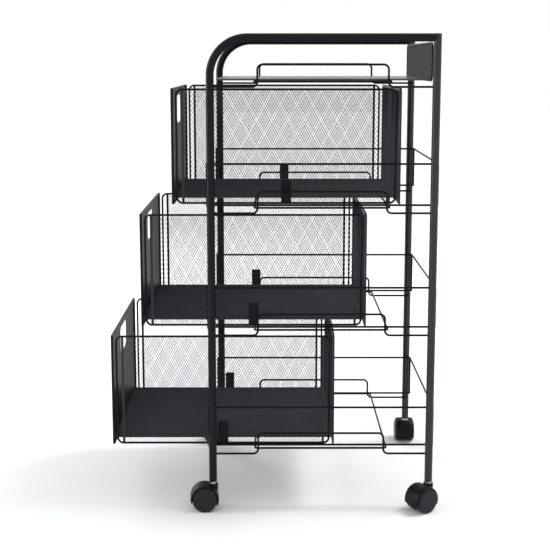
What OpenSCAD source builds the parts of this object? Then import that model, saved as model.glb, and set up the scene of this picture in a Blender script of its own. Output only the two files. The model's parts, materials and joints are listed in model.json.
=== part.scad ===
// Rolling pantry cart: tube frame on four twin-wheel casters, with a top shelf and three
// sliding mesh baskets. X runs from the front (-X, where the baskets pull out) to the back,
// Y from side to side and Z up. The origin is on the floor, in the middle of the footprint.

/* [Frame] */
// Distance between the front and the rear post centre lines
post_gap_x = 351; // [300:1:450]
// Distance between the left and the right post centre lines
post_gap_y = 322; // [280:1:420]
// Height of the cart's top over the floor
cart_height = 767; // [760:1:800]
// Outer diameter of the frame tube
tube_d = 12.7; // [12:0.1:16]
// Wall thickness of the frame tube
tube_wall = 1.2; // [1:0.1:1.6]
// Centre-line radius of the front bend
bend_r = 58; // [40:1:70]
// Height of the leg ends over the floor
leg_bottom = 48.5; // [47:0.5:60]

/* [Levels] */
// Height of the lowest side guard wire's centre over the floor
first_level = 91; // [80:1:100]
// Height from one level to the next
level_pitch = 198; // [196:1:210]
// Diameter of all the rack and basket wires
wire_d = 3.4; // [3:0.1:4]
// Height of the raised middle of a side guard wire
guard_rise = 34.5; // [25:0.5:45]
// Length of the raised middle of a side guard wire
guard_raised_len = 204; // [150:1:240]
// Length of a floor ring
ring_len = 214; // [160:1:250]
// Height of the rear stop wire over its level
stop_rise = 78; // [60:1:90]
// Distance of the slide rails inward from the post centre line
rail_inset = 18; // [16:0.5:22]

/* [Top shelf] */
// Length of the shelf sheet
tray_len = 331; // [250:1:331]
// Height of the shelf's folded edge
tray_edge = 3; // [3:0.1:6]
// Thickness of sheet metal
sheet = 1.2; // [0.8:0.1:1.5]
// Height of the rear guard's lower wire over the top level
guard_panel_low = 9.5; // [8:0.5:20]

/* [Baskets] */
// Length of a basket, front face to rear face
basket_len = 362; // [350:1:362]
// Height of a basket over its bottom wire's centre
basket_height = 180.5; // [140:0.5:181]
// Height of the mesh floor over the bottom wire's centre
floor_rise = 8; // [4:0.5:15]
// Thickness of the expanded metal
mesh_t = 0.6; // [0.5:0.1:1]
// Width of the hand hole
hand_w = 76; // [60:1:100]
// Height of the hand hole
hand_h = 46; // [30:1:60]
// How far the upper basket is pulled out
out_upper = 57; // [0:1:175]
// How far the middle basket is pulled out
out_middle = 109; // [0:1:175]
// How far the lower basket is pulled out
out_lower = 159; // [0:1:175]

/* [Casters] */
// Wheel diameter
wheel_d = 40; // [36:1:44]
// Width of one wheel
wheel_w = 13; // [10:0.5:14]
// Distance from the stem to the axle
caster_trail = 14; // [12:1:18]
// Axle diameter
axle_d = 5; // [4:0.5:6]
// Stem diameter
stem_d = 8; // [7:0.5:9]
// Turn of the front right caster
turn_front_right = 4; // [-180:1:180]
// Turn of the rear right caster
turn_rear_right = 34; // [-180:1:180]
// Turn of the rear left caster
turn_rear_left = -90; // [-180:1:180]
// Turn of the front left caster
turn_front_left = -20; // [-180:1:180]

/* [Hidden] */
$fn = 40;

FRAME_BLACK = "#24262a";
MESH_BLACK = "#1d1f22";
PLASTIC_BLACK = "#18191b";
ZINC = "#b8bcc0";

tube_r = tube_d / 2;
wire_r = wire_d / 2;
post_x = post_gap_x / 2;
post_y = post_gap_y / 2;
frame_x = 73;                            // from the origin to the middle of the frame
rail_z = cart_height - tube_r;           // centre line of the top rails
guard_y = post_y - tube_r - wire_r;      // wires welded to the inner sides of the posts
ring_y = guard_y - wire_d;               // ring wires welded inside the guard wires
ring_rise = 8.2;                         // ring wires over the guard's low stretch
rail_rise = ring_rise + wire_d;          // rails lie on the ring's cross wires
rail_y = post_y - rail_inset;
wire_end_x = post_x + tube_r;            // wires that stand behind and before the posts
top_level = first_level + 3 * level_pitch;

// The basket's bottom wires run on the rails with a small gap.
slide_gap = 0.2;
basket_rise = rail_rise + wire_d + slide_gap;
basket_y = rail_y;
loop_inset = 8.5;                        // from a basket end to the loop's upright wire
loop_x = basket_len / 2 - loop_inset;
loop_top = basket_height - wire_r;
side_inset = 16;                         // from a basket end to the mesh side panel
side_x = basket_len / 2 - side_inset;
mesh_y = basket_y - wire_r;              // outer face of the mesh sides
edge_drop = 1.5;                         // front and rear panels under the bottom wire
front_depth = 4;

wheel_r = wheel_d / 2;
wheel_gap = 10;                          // between a caster's two wheels
run = 0.05;                              // radial clearance of a running fit
hood_r = wheel_r + 3.3;
hood_w = 32;
hood_top = leg_bottom - 4.3;
collar_d = 11.6;
collar_h = 3;
stem_low = 37.3;
stem_top = 80;
socket_len = 34;

// A straight round rod from point a to point b.
module rod(a, b, d) {
    v = b - a;
    len = norm(v);
    translate(a)
        rotate([0, acos(v[2] / len), atan2(v[1], v[0])])
            cylinder(h = len, d = d);
}

function unit(v) = v / norm(v);
function turn_angle(p, q, r) = acos(min(1, max(-1, unit(q - p) * unit(r - q))));
function cut_back(p, q, r, bend) = bend * tan(turn_angle(p, q, r) / 2);

// The bend at corner q of the path p, q, r.
module wire_bend(p, q, r, bend, d) {
    along = unit(q - p);
    inward = unit(unit(r - q) - (unit(r - q) * along) * along);
    up = cross(-inward, along);
    middle = q - along * cut_back(p, q, r, bend) + inward * bend;
    multmatrix([
        [-inward[0], along[0], up[0], middle[0]],
        [-inward[1], along[1], up[1], middle[1]],
        [-inward[2], along[2], up[2], middle[2]],
        [0, 0, 0, 1]])
        rotate_extrude(angle = turn_angle(p, q, r))
            translate([bend, 0])
                circle(d = d);
}

// A round wire along points, with every corner bent to the same radius.
module wire(points, bend, d = wire_d, closed = false) {
    n = len(points);
    last = closed ? n - 1 : n - 2;
    for (i = [0 : last]) {
        a = points[i];
        b = points[(i + 1) % n];
        before = points[(i + n - 1) % n];
        after = points[(i + 2) % n];
        cut_a = closed || i > 0 ? cut_back(before, a, b, bend) : 0;
        cut_b = closed || i < n - 2 ? cut_back(a, b, after, bend) : 0;
        along = unit(b - a);
        rod(a + along * cut_a, b - along * cut_b, d);
        if (closed || i < n - 2) wire_bend(a, b, after, bend, d);
    }
}

// A rectangle with round corners, centred.
module round_rect(w, h, r) {
    square([w - 2 * r, h], center = true);
    square([w, h - 2 * r], center = true);
    for (x = [-1, 1]) {
        for (y = [-1, 1]) {
            translate([x * (w / 2 - r), y * (h / 2 - r)]) circle(r);
        }
    }
}

// Children stand at the frame's middle; side is -1 on the right and 1 on the left.
module frame_part(colour = FRAME_BLACK) {
    color(colour) translate([frame_x, 0, 0]) children();
}

module both_sides() {
    for (side = [-1, 1]) {
        scale_y(side) children();
    }
}

module scale_y(side) {
    mirror([0, side < 0 ? 1 : 0, 0]) children();
}

// ---- Frame ----

module tube_bend(d) {
    rotate([90, 0, 0])
        rotate_extrude(angle = 90)
            translate([bend_r, 0])
                circle(d = d);
}

// The front leg, bend and top rail as a solid bar of diameter d.
module side_bar(side, d) {
    y = side * post_y;
    rod([-post_x, y, leg_bottom], [-post_x, y, rail_z - bend_r], d);
    translate([-post_x + bend_r, y, rail_z - bend_r])
        mirror([1, 0, 0])
            tube_bend(d);
    rod([-post_x + bend_r, y, rail_z], [post_x, y, rail_z], d);
}

module side_tube(side) {
    frame_part() difference() {
        side_bar(side, tube_d);
        side_bar(side, tube_d - 2 * tube_wall);
        translate([post_x, side * post_y, rail_z - 2 * tube_d])
            cylinder(h = 4 * tube_d, d = tube_d);
    }
}

module rear_post(side) {
    height = cart_height - 1.5 - leg_bottom;
    frame_part() translate([post_x, side * post_y, leg_bottom]) difference() {
        cylinder(h = height, d = tube_d);
        translate([0, 0, -1]) cylinder(h = height + 2, d = tube_d - 2 * tube_wall);
    }
}

module post_caps() {
    plug_r = tube_r - tube_wall;
    frame_part(PLASTIC_BLACK) both_sides() translate([post_x, post_y, cart_height - 1.5])
        rotate_extrude()
            polygon([[0, -12], [plug_r - 0.4, -12], [plug_r, -11], [plug_r, 0],
                [tube_r, 0], [tube_r - 0.4, 0.8], [tube_r - 1.6, 1.5], [0, 1.5]]);
}

// Places children at each leg: index 0 front left, 1 front right, 2 rear left, 3 rear right.
module at_leg(i) {
    translate([frame_x + (i < 2 ? -post_x : post_x), (i % 2 == 0 ? post_y : -post_y), 0])
        children();
}

module stem_sockets() {
    color(PLASTIC_BLACK) for (i = [0 : 3]) at_leg(i) difference() {
        union() {
            translate([0, 0, leg_bottom - 1]) cylinder(h = 1, r = tube_r);
            translate([0, 0, leg_bottom]) cylinder(h = socket_len, r = tube_r - tube_wall);
        }
        translate([0, 0, leg_bottom - 2]) cylinder(h = socket_len + 3, d = stem_d);
    }
}

module caster_stems() {
    collar_z = leg_bottom - 1 - collar_h;
    color(ZINC) for (i = [0 : 3]) at_leg(i) {
        translate([0, 0, stem_low]) cylinder(h = stem_top - stem_low, d = stem_d);
        translate([0, 0, collar_z]) cylinder(h = collar_h, d = collar_d);
    }
}

// ---- Top shelf and its guard ----

module top_tray() {
    half_y = guard_y - wire_r - 0.3;
    low = top_level + ring_rise + wire_r;
    frame_part() translate([0, 0, low]) difference() {
        translate([-tray_len / 2, -half_y, 0]) cube([tray_len, 2 * half_y, tray_edge]);
        translate([-tray_len / 2 + sheet, -half_y + sheet, -1])
            cube([tray_len - 2 * sheet, 2 * (half_y - sheet), tray_edge + 1 - sheet]);
    }
}

guard_wire_d = 2.6;
guard_low = top_level + guard_panel_low;
guard_high = rail_z - tube_r - guard_wire_d / 2;
guard_half = post_y - 1;
guard_x = post_x - tube_r - guard_wire_d / 2;
guard_corner = 9;

module guard_frame() {
    frame_part() translate([guard_x, 0, 0])
        wire([[0, -guard_half, guard_high], [0, -guard_half, guard_low],
            [0, guard_half, guard_low], [0, guard_half, guard_high]],
            guard_corner, guard_wire_d, closed = true);
}

module guard_mesh() {
    inner_w = 2 * guard_half - guard_wire_d;
    inner_h = guard_high - guard_low - guard_wire_d;
    frame_part(MESH_BLACK) translate([guard_x - mesh_t / 2, 0, (guard_high + guard_low) / 2])
        rotate([90, 0, 90])
            linear_extrude(mesh_t)
                round_rect(inner_w, inner_h, guard_corner - guard_wire_d / 2);
}

// ---- Rack wires of one level, level 3 being the shelf ----

module at_level(i) {
    frame_part() translate([0, 0, first_level + i * level_pitch]) children();
}

module side_guards(i) {
    raised_x = guard_raised_len / 2;
    end_x = post_x + 2;
    at_level(i) both_sides()
        wire([[-end_x, guard_y, 0], [-raised_x, guard_y, 0], [-raised_x, guard_y, guard_rise],
            [raised_x, guard_y, guard_rise], [raised_x, guard_y, 0], [end_x, guard_y, 0]], 8);
}

module floor_ring(i) {
    x = ring_len / 2;
    at_level(i) translate([0, 0, ring_rise])
        wire([[-x, -ring_y, 0], [x, -ring_y, 0], [x, ring_y, 0], [-x, ring_y, 0]],
            5, closed = true);
}

module slide_rails(i) {
    high = stop_rise - wire_r;
    at_level(i) both_sides()
        wire([[-wire_end_x, guard_y, high], [-wire_end_x, guard_y, rail_rise],
            [-wire_end_x, rail_y, rail_rise], [wire_end_x, rail_y, rail_rise],
            [wire_end_x, guard_y, rail_rise], [wire_end_x, guard_y, high]], 4);
}

module back_wire(i) {
    at_level(i) translate([0, 0, stop_rise])
        wire([[-wire_end_x - wire_r, -guard_y, 0], [wire_end_x, -guard_y, 0],
            [wire_end_x, guard_y, 0], [-wire_end_x - wire_r, guard_y, 0]], 4);
}

// ---- Baskets: i is the level, out is how far it is pulled ----

module basket_part(i, out, colour = FRAME_BLACK) {
    color(colour) translate([frame_x - out, 0, first_level + i * level_pitch + basket_rise])
        children();
}

// Folded sheet front with the hand hole.
module basket_front(i, out) {
    half_y = basket_y + wire_r;
    height = basket_height + edge_drop;
    hand_z = basket_height - 14 - hand_h / 2;
    basket_part(i, out) translate([-basket_len / 2, 0, 0]) difference() {
        translate([0, -half_y, -edge_drop]) cube([front_depth, 2 * half_y, height]);
        translate([sheet, -half_y + sheet, -edge_drop + sheet])
            cube([front_depth, 2 * (half_y - sheet), height - 2 * sheet]);
        translate([-1, 0, hand_z]) rotate([90, 0, 90])
            linear_extrude(front_depth) round_rect(hand_w, hand_h, 12);
    }
}

module basket_loops(i, out) {
    basket_part(i, out) both_sides()
        wire([[-loop_x, basket_y, 0], [loop_x, basket_y, 0],
            [loop_x, basket_y, loop_top], [-loop_x, basket_y, loop_top]], 9, closed = true);
}

// Expanded-metal sides with a flat border at each end.
module basket_sides(i, out) {
    border = 4;
    basket_part(i, out, MESH_BLACK) both_sides() translate([0, mesh_y, 0]) {
        translate([-side_x, -mesh_t, 0]) cube([2 * side_x, mesh_t, loop_top]);
        for (x = [-side_x, side_x - border]) {
            translate([x, -mesh_t - 0.7, 0]) cube([border, mesh_t + 0.7, loop_top]);
        }
    }
}

module basket_floor(i, out) {
    half_x = basket_len / 2 - sheet;
    half_y = mesh_y - mesh_t - 0.7;
    basket_part(i, out, MESH_BLACK)
        translate([-half_x, -half_y, floor_rise])
            cube([half_x + basket_len / 2 - 3, 2 * half_y, mesh_t]);
}

// Expanded-metal back with a flat border and round top corners.
module basket_back(i, out) {
    border = 4;
    depth = 3;
    half_y = basket_y + wire_r;
    height = basket_height + edge_drop;
    basket_part(i, out, MESH_BLACK)
        translate([basket_len / 2 - depth, 0, -edge_drop]) rotate([90, 0, 90]) {
            linear_extrude(depth) difference() {
                back_outline(half_y, height, 10);
                translate([0, border]) back_outline(half_y - border, height - 2 * border, 6);
            }
            translate([0, 0, depth - mesh_t]) linear_extrude(mesh_t)
                back_outline(half_y, height, 10);
        }
}

module back_outline(half_w, height, r) {
    translate([-half_w, 0]) square([2 * half_w, height - r]);
    translate([-half_w + r, 0]) square([2 * (half_w - r), height]);
    for (side = [-1, 1]) translate([side * (half_w - r), height - r]) circle(r);
}

module basket_tabs(i, out) {
    tab_w = 16;
    tab_top = 37;
    basket_part(i, out) both_sides()
        translate([-tab_w / 2, mesh_y, wire_r]) cube([tab_w, 1.5, tab_top - wire_r]);
}

// ---- Casters: the stem is at the origin, the axle trails to -X ----

turns = [turn_front_left, turn_front_right, turn_rear_left, turn_rear_right];

module caster_part(i, colour = PLASTIC_BLACK) {
    color(colour) at_leg(i) rotate([0, 0, turns[i]])
        translate([-caster_trail, 0, wheel_r]) children();
}

module along_y(w) {
    translate([0, w / 2, 0]) rotate([90, 0, 0]) linear_extrude(w) children();
}

// The hood's shell turned about the axle, thickest in the middle, from low over the stem's
// side of the wheels to half way down on the other side.
module hood_shell() {
    inner_r = wheel_r + 0.8;
    edge_r = inner_r + 0.9;
    flat_half = 8;
    low_end = -24;
    round_edge = [for (a = [0 : 15 : 90])
        [edge_r + (hood_r - edge_r) * cos(a), flat_half + (hood_w / 2 - flat_half) * sin(a)]];
    mirrored = [for (i = [len(round_edge) - 1 : -1 : 0])
        [round_edge[i][0], -round_edge[i][1]]];
    rotate([90, 0, 0]) rotate(low_end) rotate_extrude(angle = 217, $fn = 72)
        polygon(concat([[inner_r, -hood_w / 2]], mirrored, round_edge, [[inner_r, hood_w / 2]]));
}

module hood(i) {
    boss_low = 14;
    web_low = 6;
    caster_part(i) difference() {
        union() {
            hood_shell();
            along_y(wheel_gap - 1) difference() {
                circle(wheel_r + 1, $fn = 72);
                translate([-2 * wheel_r, -2 * wheel_r])
                    square([4 * wheel_r, wheel_r + web_low]);
            }
            translate([caster_trail, 0, boss_low])
                cylinder(h = hood_top - wheel_r - boss_low, r = 8);
        }
        for (side = [-1, 1]) {
            translate([0, side * (wheel_gap / 2 + wheel_w / 2 - 0.25), 0]) rotate([90, 0, 0])
                cylinder(h = wheel_w + 0.5, r = wheel_r + 0.8, center = true, $fn = 72);
        }
        rotate([90, 0, 0]) cylinder(h = 2 * hood_w, d = axle_d, center = true);
        translate([caster_trail, 0, stem_low - wheel_r - 0.3])
            cylinder(h = hood_top, d = stem_d + 2 * run);
    }
}

axle_half = wheel_gap / 2 + wheel_w - 3;

module axle(i) {
    caster_part(i, ZINC) rotate([90, 0, 0])
        cylinder(h = 2 * axle_half, d = axle_d, center = true);
}

// side is -1 for the outer wheel and 1 for the inner wheel of a right caster.
module wheel(i, side) {
    w = wheel_w;
    bore = axle_d / 2 + run;
    caster_part(i) translate([0, side * wheel_gap / 2, 0]) rotate([-90 * side, 0, 0])
        rotate_extrude($fn = 72)
            polygon([[bore, 0], [wheel_r - 0.6, 0], [wheel_r, 0.6], [wheel_r, w - 3],
                [wheel_r - 0.8, w - 1], [wheel_r - 2.5, w], [0, w], [0, w - 2.7],
                [bore, w - 2.7]]);
}

side_tube(1);  // side_tube_left
side_tube(-1);  // side_tube_right
rear_post(1);  // rear_post_left
rear_post(-1);  // rear_post_right
post_caps();
stem_sockets();
caster_stems();
top_tray();
guard_mesh();
guard_frame();
side_guards(3);  // side_guards_top
side_guards(2);  // side_guards_upper
side_guards(1);  // side_guards_middle
side_guards(0);  // side_guards_lower
floor_ring(3);  // floor_ring_top
floor_ring(2);  // floor_ring_upper
floor_ring(1);  // floor_ring_middle
floor_ring(0);  // floor_ring_lower
slide_rails(2);  // slide_rails_upper
slide_rails(1);  // slide_rails_middle
slide_rails(0);  // slide_rails_lower
back_wire(2);  // back_wire_upper
back_wire(1);  // back_wire_middle
back_wire(0);  // back_wire_lower
basket_front(2, out_upper);  // upper_front
basket_loops(2, out_upper);  // upper_loops
basket_sides(2, out_upper);  // upper_sides
basket_floor(2, out_upper);  // upper_floor
basket_back(2, out_upper);  // upper_back
basket_tabs(2, out_upper);  // upper_tabs
basket_front(1, out_middle);  // middle_front
basket_loops(1, out_middle);  // middle_loops
basket_sides(1, out_middle);  // middle_sides
basket_floor(1, out_middle);  // middle_floor
basket_back(1, out_middle);  // middle_back
basket_tabs(1, out_middle);  // middle_tabs
basket_front(0, out_lower);  // lower_front
basket_loops(0, out_lower);  // lower_loops
basket_sides(0, out_lower);  // lower_sides
basket_floor(0, out_lower);  // lower_floor
basket_back(0, out_lower);  // lower_back
basket_tabs(0, out_lower);  // lower_tabs
hood(0);  // hood_front_left
hood(1);  // hood_front_right
hood(2);  // hood_rear_left
hood(3);  // hood_rear_right
axle(0);  // axle_front_left
axle(1);  // axle_front_right
axle(2);  // axle_rear_left
axle(3);  // axle_rear_right
wheel(0, 1);  // wheel_front_left_outer
wheel(0, -1);  // wheel_front_left_inner
wheel(1, -1);  // wheel_front_right_outer
wheel(1, 1);  // wheel_front_right_inner
wheel(2, 1);  // wheel_rear_left_outer
wheel(2, -1);  // wheel_rear_left_inner
wheel(3, -1);  // wheel_rear_right_outer
wheel(3, 1);  // wheel_rear_right_inner
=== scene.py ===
import json
import math

import bpy
import numpy as np
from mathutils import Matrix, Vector


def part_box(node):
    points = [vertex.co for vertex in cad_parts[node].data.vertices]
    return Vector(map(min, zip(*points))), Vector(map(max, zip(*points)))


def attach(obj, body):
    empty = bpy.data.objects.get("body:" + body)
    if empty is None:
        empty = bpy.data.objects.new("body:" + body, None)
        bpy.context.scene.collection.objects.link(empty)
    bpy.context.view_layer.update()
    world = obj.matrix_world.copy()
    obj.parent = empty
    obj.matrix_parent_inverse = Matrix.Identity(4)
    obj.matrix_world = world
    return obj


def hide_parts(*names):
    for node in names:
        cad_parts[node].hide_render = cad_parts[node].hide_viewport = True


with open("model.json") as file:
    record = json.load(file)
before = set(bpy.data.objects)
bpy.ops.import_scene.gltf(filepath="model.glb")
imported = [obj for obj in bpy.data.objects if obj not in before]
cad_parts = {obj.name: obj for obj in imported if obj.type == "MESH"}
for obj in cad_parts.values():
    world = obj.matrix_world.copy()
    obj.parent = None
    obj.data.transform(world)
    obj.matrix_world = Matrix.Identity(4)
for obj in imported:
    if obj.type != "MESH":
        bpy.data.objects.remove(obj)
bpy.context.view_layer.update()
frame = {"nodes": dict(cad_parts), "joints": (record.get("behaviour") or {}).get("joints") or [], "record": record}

MM = 0.001
X, Y, Z = 0, 1, 2
nodes = frame["nodes"]
slot_of = {part["node"]: part["material_slot"] for part in frame["record"]["subparts"]}
scene = bpy.context.scene


# ---- Camera, light and floor ----

CAMERA_PLACE = (-0.0055, -1.889, 0.725)
CAMERA_TILT = 8.72         # degrees below level
CAMERA_TURN = -0.13        # degrees about the upright axis
CAMERA_LENS = 72.6         # on a sensor 36 wide
CAMERA_SHIFT = -0.08
FAR_LIMIT = 60

LAMP_TARGET = (0, 0, 0.4)
SUN_POWER = 2.0
SUN_SPREAD = 20            # degrees: how soft its shadows are
SUN_DIRECTION = (-0.60, -0.10, -1)
FLOOR_HALF = 14            # half of the floor's side


def link(name, data):
    obj = bpy.data.objects.new(name, data)
    scene.collection.objects.link(obj)
    return obj


def make_camera():
    data = bpy.data.cameras.new("camera")
    data.sensor_width = 36
    data.lens = CAMERA_LENS
    data.shift_y = CAMERA_SHIFT
    data.clip_end = FAR_LIMIT
    data.dof.use_dof = False
    camera = link("camera", data)
    camera.location = CAMERA_PLACE
    camera.rotation_euler = (math.radians(90 - CAMERA_TILT), 0, math.radians(CAMERA_TURN))
    scene.camera = camera


def aim(lamp, direction):
    lamp.rotation_euler = Vector(direction).to_track_quat("-Z", "Y").to_euler()


def softbox(name, place, size, power):
    data = bpy.data.lights.new(name, "AREA")
    data.shape = "RECTANGLE"
    data.size, data.size_y = size
    data.energy = power
    lamp = link(name, data)
    lamp.location = place
    aim(lamp, Vector(LAMP_TARGET) - Vector(place))


def make_sky():
    world = bpy.data.worlds.new("studio")
    world.use_nodes = True
    sky = world.node_tree.nodes["Background"]
    sky.inputs["Color"].default_value = (1, 1, 1, 1)
    sky.inputs["Strength"].default_value = 1.0
    scene.world = world
    scene.view_settings.view_transform = "Standard"


def make_lamps():
    softbox("left_strip", (-2.2, -0.2, 0.9), size=(0.3, 1.8), power=26)
    softbox("back_strip", (-1.2, 2.2, 1.3), size=(0.5, 1.8), power=26)
    data = bpy.data.lights.new("overhead", "SUN")
    data.energy = SUN_POWER
    data.angle = math.radians(SUN_SPREAD)
    aim(link("overhead", data), SUN_DIRECTION)


def make_floor():
    half = FLOOR_HALF
    mesh = bpy.data.meshes.new("floor")
    mesh.from_pydata(
        [(-half, -half, 0), (half, -half, 0), (half, half, 0), (-half, half, 0)],
        [], [(0, 1, 2, 3)])
    floor = link("floor", mesh)
    paper = coat("floor_paper", (0.71, 0.725, 0.735), rough=0.9, grain=3, mottle=0.01, bump=0.02,
                 specular=0.1)
    floor.data.materials.append(paper)


# ---- Materials: object coordinates are metres in the row frame ----

SLOW_SCALE = 22            # the slow change of tone, in waves per metre
NOISE_LOW = 0.3            # the range of noise values that is spread over a material's range
NOISE_HIGH = 0.7
ROUGH_CHANGE = 0.06
RELIEF = 0.1 * MM

# Colour and roughness of each coat; grain is in waves per metre, mottle and bump run from 0 to 1.
COATS = {
    "frame_tube": dict(colour=(0.0055, 0.0065, 0.0085), rough=0.30, grain=1500, mottle=0.12,
                       bump=0.2, specular=0.12),
    # painted highlight: the rear posts are the same black tube as frame_tube, given a lighter base colour and more
    # specular to stand in for the light they catch
    "rear_post": dict(colour=(0.014, 0.017, 0.020), rough=0.30, grain=1500, mottle=0.12,
                      bump=0.2, specular=0.35),
    "wire": dict(colour=(0.004, 0.0045, 0.006), rough=0.32, grain=1800, mottle=0.12,
                 bump=0.2, specular=0.10),
    "sheet_metal": dict(colour=(0.007, 0.008, 0.010), rough=0.42, grain=1500, mottle=0.12,
                        bump=0.3, specular=0.07),
    # painted sheen: the top tray is the same black coat as the sheet metal, made lighter to stand in for the light
    # on its top face
    "shelf": dict(colour=(0.024, 0.027, 0.030), rough=0.30, grain=1500, mottle=0.12,
                  bump=0.3, specular=0.5),
    "expanded_mesh": dict(colour=(0.019, 0.022, 0.026), rough=0.42, grain=2200, mottle=0.12,
                          bump=0.15, specular=0.2),
    # painted light: the basket floors are the same black expanded metal as the sides, made lighter because their
    # upper faces catch the light
    "mesh_floor": dict(colour=(0.062, 0.069, 0.076), rough=0.42, grain=2200, mottle=0.12,
                       bump=0.15, specular=0.3),
    # painted light: the guard is the same black expanded metal, made lighter to stand in for the light it catches
    "guard": dict(colour=(0.045, 0.049, 0.053), rough=0.42, grain=2200, mottle=0.12,
                  bump=0.15, specular=0.3),
    "plastic": dict(colour=(0.005, 0.005, 0.006), rough=0.42, grain=2600, mottle=0.10,
                    bump=0.3, specular=0.12),
    "wheel": dict(colour=(0.010, 0.012, 0.014), rough=0.38, grain=2000, mottle=0.15,
                  bump=0.2, specular=0.2),
    "zinc": dict(colour=(0.52, 0.53, 0.55), rough=0.30, grain=1200, mottle=0.10,
                 bump=0.2, specular=0.5, metallic=1.0),
}

# CAD nodes whose coat differs from the one of their material slot: the tray's coat carries a painted sheen and the
# rear posts' coat a painted highlight.
COAT_OF_NODE = {"top_tray": "shelf", "rear_post_left": "rear_post", "rear_post_right": "rear_post"}


def coat(name, colour, rough, grain, mottle, bump, specular, metallic=0.0):
    """Powder coat, moulded plastic, plating or paper: fine grain over a slow change of tone."""
    material = bpy.data.materials.new(name)
    material.use_nodes = True
    tree = material.node_tree
    shader = tree.nodes["Principled BSDF"]
    shader.inputs["Metallic"].default_value = metallic
    shader.inputs["Specular IOR Level"].default_value = specular
    place = tree.nodes.new("ShaderNodeTexCoord")

    def noise(scale, detail):
        node = tree.nodes.new("ShaderNodeTexNoise")
        node.inputs["Scale"].default_value = scale
        node.inputs["Detail"].default_value = detail
        tree.links.new(place.outputs["Object"], node.inputs["Vector"])
        return node.outputs["Fac"]

    def spread(value, low, high):
        node = tree.nodes.new("ShaderNodeMapRange")
        node.inputs["From Min"].default_value = NOISE_LOW
        node.inputs["From Max"].default_value = NOISE_HIGH
        node.inputs["To Min"].default_value = low
        node.inputs["To Max"].default_value = high
        tree.links.new(value, node.inputs["Value"])
        return node.outputs["Result"]

    slow = noise(SLOW_SCALE, detail=3)
    fine = noise(grain, detail=2)
    mix = tree.nodes.new("ShaderNodeMix")
    mix.data_type = "RGBA"
    tree.links.new(spread(slow, 0, 1), mix.inputs["Factor"])
    mix.inputs["A"].default_value = [c * (1 - mottle) for c in colour] + [1]
    mix.inputs["B"].default_value = [c * (1 + mottle) for c in colour] + [1]
    tree.links.new(mix.outputs["Result"], shader.inputs["Base Color"])
    roughness = spread(fine, rough - ROUGH_CHANGE, rough + ROUGH_CHANGE)
    tree.links.new(roughness, shader.inputs["Roughness"])
    relief = tree.nodes.new("ShaderNodeBump")
    relief.inputs["Strength"].default_value = bump
    relief.inputs["Distance"].default_value = RELIEF
    tree.links.new(fine, relief.inputs["Height"])
    tree.links.new(relief.outputs["Normal"], shader.inputs["Normal"])
    return material


def coat_nodes():
    for node, obj in nodes.items():
        obj.data.materials.clear()
        obj.data.materials.append(materials[COAT_OF_NODE.get(node, slot_of[node])])


# ---- Pieces ----

class Shape:
    """Collects vertices and faces of one piece."""

    def __init__(self):
        self.points = []
        self.faces = []
        self.count = 0

    def add(self, points, faces):
        self.points.append(np.asarray(points, float))
        self.faces.extend((np.asarray(faces) + self.count).tolist())
        self.count += len(points)

    def block(self, low, high):
        x0, y0, z0 = low
        x1, y1, z1 = high
        self.add([(x, y, z) for z in (z0, z1) for y in (y0, y1) for x in (x0, x1)],
                 [(0, 2, 3, 1), (4, 5, 7, 6), (0, 1, 5, 4), (2, 6, 7, 3), (0, 4, 6, 2),
                  (1, 3, 7, 5)])

    def piece(self, name, slot, body, *replaced, look=None):
        """The finished object. look names a coat other than the one of the slot."""
        mesh = bpy.data.meshes.new(name)
        mesh.from_pydata(np.vstack(self.points).tolist(), [], self.faces)
        mesh.validate()
        mesh.materials.append(materials[look or slot])
        obj = link(name, mesh)
        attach(obj, body)
        if replaced:
            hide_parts(*replaced)
        return obj


def flat(axes, origin, sign=1):
    """A place() that lays (u, v, n) along the given row axes from an origin."""
    def place(u, v, n):
        out = [np.full(len(u), origin[i]) for i in range(3)]
        for value, axis in zip((u, v, sign * n), axes):
            out[axis] = out[axis] + value
        return out
    return place


# ---- Expanded metal ----

CELL_W = 4.08 * MM         # a diamond's short way
CELL_H = 7.3 * MM          # its long way, along which the strands run
WAVE = 0.1 * MM            # how far a strand leans out at one turn and in at the next
ROUNDING = 1e-12

# Width and depth of a strand on each panel.
SIDE_STRAND = (0.58 * MM, 0.7 * MM)
FLOOR_STRAND = (0.9 * MM, 1.3 * MM)
BACK_STRAND = (0.7 * MM, 1.1 * MM)
GUARD_STRAND = (0.8 * MM, 1.2 * MM)

# Corners of a strand's three-sided section, in parts of its width and depth.
SECTION = np.array([(-0.5, -0.5), (0.5, -0.2), (0.1, 0.5)])

MESH_SHEET = 0.6 * MM      # the CAD sheet that a side or back panel stands for
BORDER = 4 * MM            # flat strips along a panel's edges
BORDER_DEPTH = 1.3 * MM
BACK_CORNER = 10 * MM
GUARD_CORNER = 7.7 * MM
CORNER_STEPS = 8


def diamonds(shape, width, height, place, strand, corner=0.0, low_corner=0.0):
    """Expanded metal from (0, 0) to (width, height): strands that run up in zigzags and meet at
    every turn. place(u, v, n) gives the points in the row frame. corner rounds the top corners."""
    columns = max(2, round(width / (CELL_W / 2)))
    rows = max(2, round(height / (CELL_H / 2)))
    step_u, step_v = width / columns, height / rows
    section = SECTION * strand
    j = np.arange(rows + 1)
    for k in range(columns):
        u = (k + (k + j) % 2) * step_u
        v = j * step_v
        n = np.where(j % 2 == 0, WAVE, -WAVE)
        keep = inside(u, v, width, height, corner, low_corner)
        ring_u = np.clip(u[:, None] + section[None, :, 0], 0, width)
        ring_n = n[:, None] + section[None, :, 1]
        ring_v = np.repeat(v[:, None], 3, 1)
        points = place(ring_u.ravel(), ring_v.ravel(), ring_n.ravel())
        faces = [(3 * i + a, 3 * i + b, 3 * i + 3 + b, 3 * i + 3 + a)
                 for i in range(rows) if keep[i] and keep[i + 1]
                 for a, b in ((0, 1), (1, 2), (2, 0))]
        if faces:
            shape.add(np.column_stack(points), faces)


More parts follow.
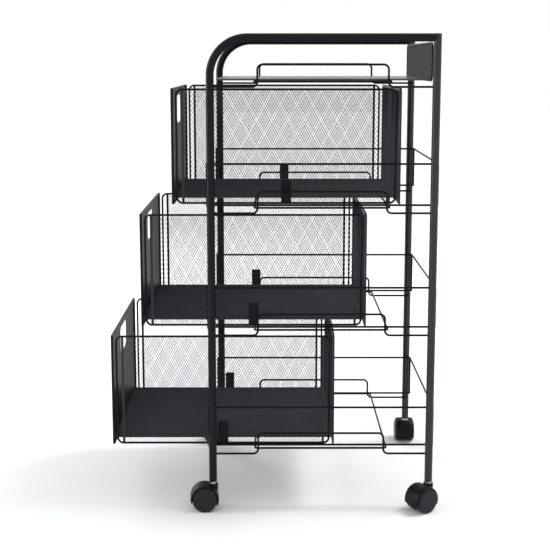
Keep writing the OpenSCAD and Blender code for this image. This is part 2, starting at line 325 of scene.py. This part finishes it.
def inside(u, v, width, height, corner, low_corner):
    """True where (u, v) is in the panel's outline with round top and bottom corners."""
    result = np.ones(len(u), bool)
    for radius, at_top in ((corner, True), (low_corner, False)):
        if radius <= 0:
            continue
        across = np.maximum(0, np.maximum(radius - u, u - (width - radius)))
        up = np.maximum(0, v - (height - radius)) if at_top else np.maximum(0, radius - v)
        result &= across ** 2 + up ** 2 <= radius ** 2 + ROUNDING
    return result


def rim(shape, place, width, height, depth):
    """A flat frame round a panel with round top corners."""
    def outline(inset):
        radius = BACK_CORNER - inset
        right, top = width - inset, height - inset
        points = [(inset, inset), (right, inset)]
        for cx, start in ((right - radius, 0), (inset + radius, 90)):
            for step in range(CORNER_STEPS + 1):
                angle = math.radians(start + step * 90 / CORNER_STEPS)
                points.append((cx + radius * math.cos(angle), top - radius + radius * math.sin(angle)))
        return points

    outer, inner = outline(0), outline(BORDER)
    count = len(outer)
    points = []
    for loop, n in ((outer, 0), (inner, 0), (inner, depth), (outer, depth)):
        u, v = np.array(loop).T
        points.append(np.column_stack(place(u, v, np.full(count, n))))
    faces = []
    for a in range(4):
        b = (a + 1) % 4
        for i in range(count):
            j = (i + 1) % count
            faces.append((a * count + i, a * count + j, b * count + j, b * count + i))
    shape.add(np.vstack(points), faces)


def make_mesh_sides(basket):
    low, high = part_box(f"{basket}_sides")
    sides = Shape()
    for side in (-1, 1):
        outer = high.y * side
        inner = outer - side * BORDER_DEPTH
        middle = outer - side * MESH_SHEET / 2
        diamonds(sides, high.x - low.x - 2 * BORDER, high.z - low.z,
                 flat((X, Z, Y), (low.x + BORDER, middle, low.z), side), SIDE_STRAND)
        for x in (low.x, high.x - BORDER):
            sides.block((x, min(outer, inner), low.z), (x + BORDER, max(outer, inner), high.z))
    sides.piece(f"{basket}_mesh_sides", "expanded_mesh", f"{basket}_basket", f"{basket}_sides")


def make_mesh_floor(basket):
    low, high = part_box(f"{basket}_floor")
    floor = Shape()
    diamonds(floor, high.y - low.y, high.x - low.x,
             flat((Y, X, Z), (low.x, low.y, (low.z + high.z) / 2)), FLOOR_STRAND)
    # the floor's coat is a lighter copy of the mesh coat, with painted light on its upper faces
    floor.piece(f"{basket}_mesh_floor", "expanded_mesh", f"{basket}_basket", f"{basket}_floor",
                look="mesh_floor")


def make_mesh_back(basket):
    low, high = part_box(f"{basket}_back")
    width, height = high.y - low.y, high.z - low.z
    back = Shape()
    diamonds(back, width - 2 * BORDER, height - 2 * BORDER,
             flat((Y, Z, X), (high.x - MESH_SHEET, low.y + BORDER, low.z + BORDER)),
             BACK_STRAND, corner=BACK_CORNER - BORDER)
    rim(back, flat((Y, Z, X), (low.x, low.y, low.z)), width, height, high.x - low.x)
    back.piece(f"{basket}_mesh_back", "expanded_mesh", f"{basket}_basket", f"{basket}_back")


def make_guard():
    low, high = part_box("guard_mesh")
    guard = Shape()
    diamonds(guard, high.y - low.y, high.z - low.z,
             flat((Y, Z, X), ((low.x + high.x) / 2, low.y, low.z)), GUARD_STRAND,
             corner=GUARD_CORNER, low_corner=GUARD_CORNER)
    # the guard's coat is a lighter copy of the mesh coat, with painted light
    guard.piece("guard_panel", "expanded_mesh", "frame", "guard_mesh", look="guard")


# ---- Wheels and soft edges ----

# Radius and height of the raised disc and ring on a wheel's face, in mm.
CAP_PROFILE = [(0, 0.45), (11.8, 0.45), (12.6, 0.38), (13.2, 0.0), (14.6, 0.0), (15.0, 0.28),
               (15.8, 0.34), (16.6, 0.24), (17.0, 0.0)]
CAP_STEPS = 64
CAP_SINK = 0.06            # mm that the disc's foot sits in the wheel

SOFT_EDGE = 0.35 * MM
SHARP = 40                 # degrees between faces from which an edge is rounded
WELD = 0.01 * MM


def make_wheel_cap(wheel, centre, axis):
    """A shallow raised disc on the outer face of a wheel."""
    reach = [(v.co - centre).dot(axis) for v in nodes[wheel].data.vertices]
    face = max(reach)
    if abs(min(reach)) > face:
        axis, face = -axis, -min(reach)
    across = Vector((0, 0, 1))
    along = axis.cross(across)
    points = []
    for radius, height in CAP_PROFILE:
        for k in range(CAP_STEPS):
            turn = 2 * math.pi * k / CAP_STEPS
            out = across * math.cos(turn) + along * math.sin(turn)
            point = centre + axis * (face + (height - CAP_SINK) * MM) + out * (radius * MM)
            points.append(tuple(point))
    faces = []
    for ring in range(len(CAP_PROFILE) - 1):
        for k in range(CAP_STEPS):
            a = ring * CAP_STEPS + k
            b = ring * CAP_STEPS + (k + 1) % CAP_STEPS
            faces.append((a, b, b + CAP_STEPS, a + CAP_STEPS))
    cap = Shape()
    cap.add(points, faces)
    piece = cap.piece(wheel.replace("wheel", "wheel_cap"), "wheel", wheel)
    piece.data.polygons.foreach_set("use_smooth", [True] * len(piece.data.polygons))


def make_wheel_caps():
    for joint in frame["joints"]:
        if joint["child"].startswith("wheel_"):
            make_wheel_cap(joint["child"], Vector(joint["pos_m"]), Vector(joint["axis"]).normalized())


def soften(node):
    """Rounds the sharp edges of a CAD node."""
    obj = nodes[node]
    weld = obj.modifiers.new("weld", "WELD")
    weld.merge_threshold = WELD
    bevel = obj.modifiers.new("soft_edges", "BEVEL")
    bevel.width = SOFT_EDGE
    bevel.segments = 2
    bevel.limit_method = "ANGLE"
    bevel.angle_limit = math.radians(SHARP)


make_camera()
materials = {name: coat(name, **look) for name, look in COATS.items()}
coat_nodes()
make_sky()
make_lamps()
make_floor()
for basket in ("upper", "middle", "lower"):
    make_mesh_sides(basket)
    make_mesh_floor(basket)
    make_mesh_back(basket)
make_guard()
make_wheel_caps()
for node in nodes:
    if node.endswith("_front") or node == "top_tray":
        soften(node)
